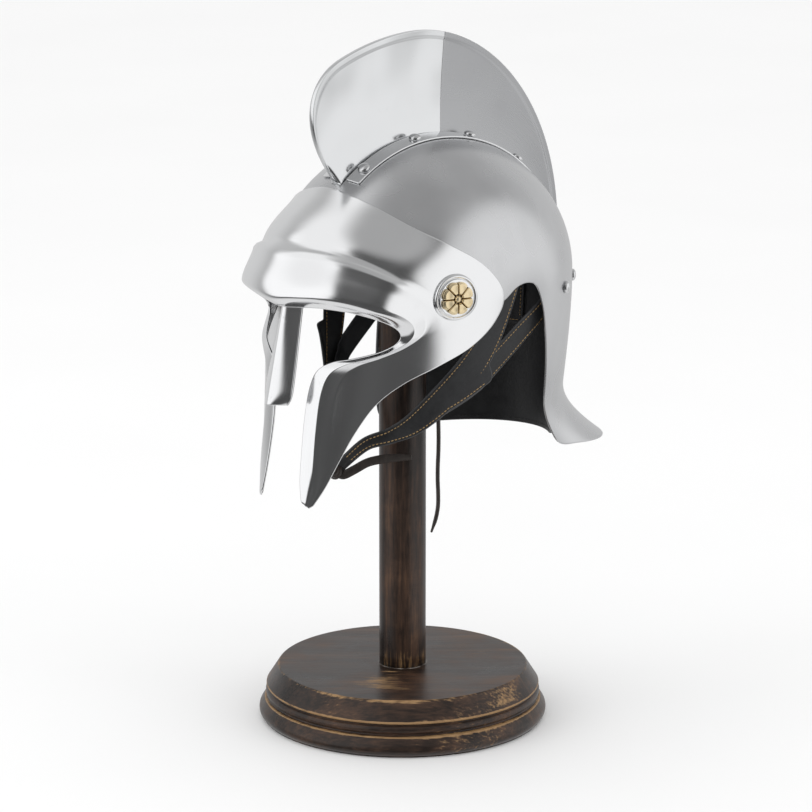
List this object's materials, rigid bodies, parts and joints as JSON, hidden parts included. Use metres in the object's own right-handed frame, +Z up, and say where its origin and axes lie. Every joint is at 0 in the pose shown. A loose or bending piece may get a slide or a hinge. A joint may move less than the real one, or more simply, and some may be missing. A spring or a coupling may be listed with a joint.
{
  "type": "gladiator helmet on display stand",
  "caption": "Crested steel gladiator helmet with an open face, brass ear rosettes, leather neck curtain and tied chin straps, resting on a turned wooden stand.",
  "frame": {"origin": "middle of the stand's underside, on the table", "axes": "+Z up along the pole, the helmet faces -Y, its wearer's left is +X"},
  "size_m": [0.229, 0.3379, 0.5463],
  "materials": {
    "polished_steel": "hand polished bright, with soft swirls and small scratches",
    "satin_steel": "satin, cross brushed",
    "brass": "pale cast brass, darkened in its grooves",
    "black_leather": "black strap leather with tan edge stitching",
    "brown_leather": "dark waxed leather lace",
    "dark_wood": "dark brown antique stain, rubbed through to red-brown wood on the edges"
  },
  "bodies": {
    "root": {"chin_knot": "brown_leather", "crest_flange_left": "polished_steel", "crest_flange_right": "polished_steel", "crest_front": "polished_steel", "crest_rear": "satin_steel", "curtain_patch": "black_leather", "face_guard": "polished_steel", "lace": "brown_leather", "nape_curtain": "black_leather", "nasal_guard": "polished_steel", "rivet_crest_left_1": "polished_steel", "rivet_crest_left_2": "polished_steel", "rivet_crest_left_3": "polished_steel", "rivet_crest_left_4": "polished_steel", "rivet_crest_left_5": "polished_steel", "rivet_crest_right_1": "polished_steel", "rivet_crest_right_2": "polished_steel", "rivet_crest_right_3": "polished_steel", "rivet_crest_right_4": "polished_steel", "rivet_crest_right_5": "polished_steel", "rivet_nape_left_1": "polished_steel", "rivet_nape_left_2": "polished_steel", "rivet_nape_right_1": "polished_steel", "rivet_nape_right_2": "polished_steel", "rosette_left": "brass", "rosette_right": "brass", "skull_bowl": "satin_steel", "stand_base": "dark_wood", "stand_knob": "dark_wood", "stand_pole": "dark_wood", "strap_arm_left": "black_leather", "strap_arm_right": "black_leather", "strap_left": "black_leather", "strap_right": "black_leather", "strap_tail": "brown_leather", "temple_boss_left": "polished_steel", "temple_boss_right": "polished_steel"}
  },
  "joints": []
}
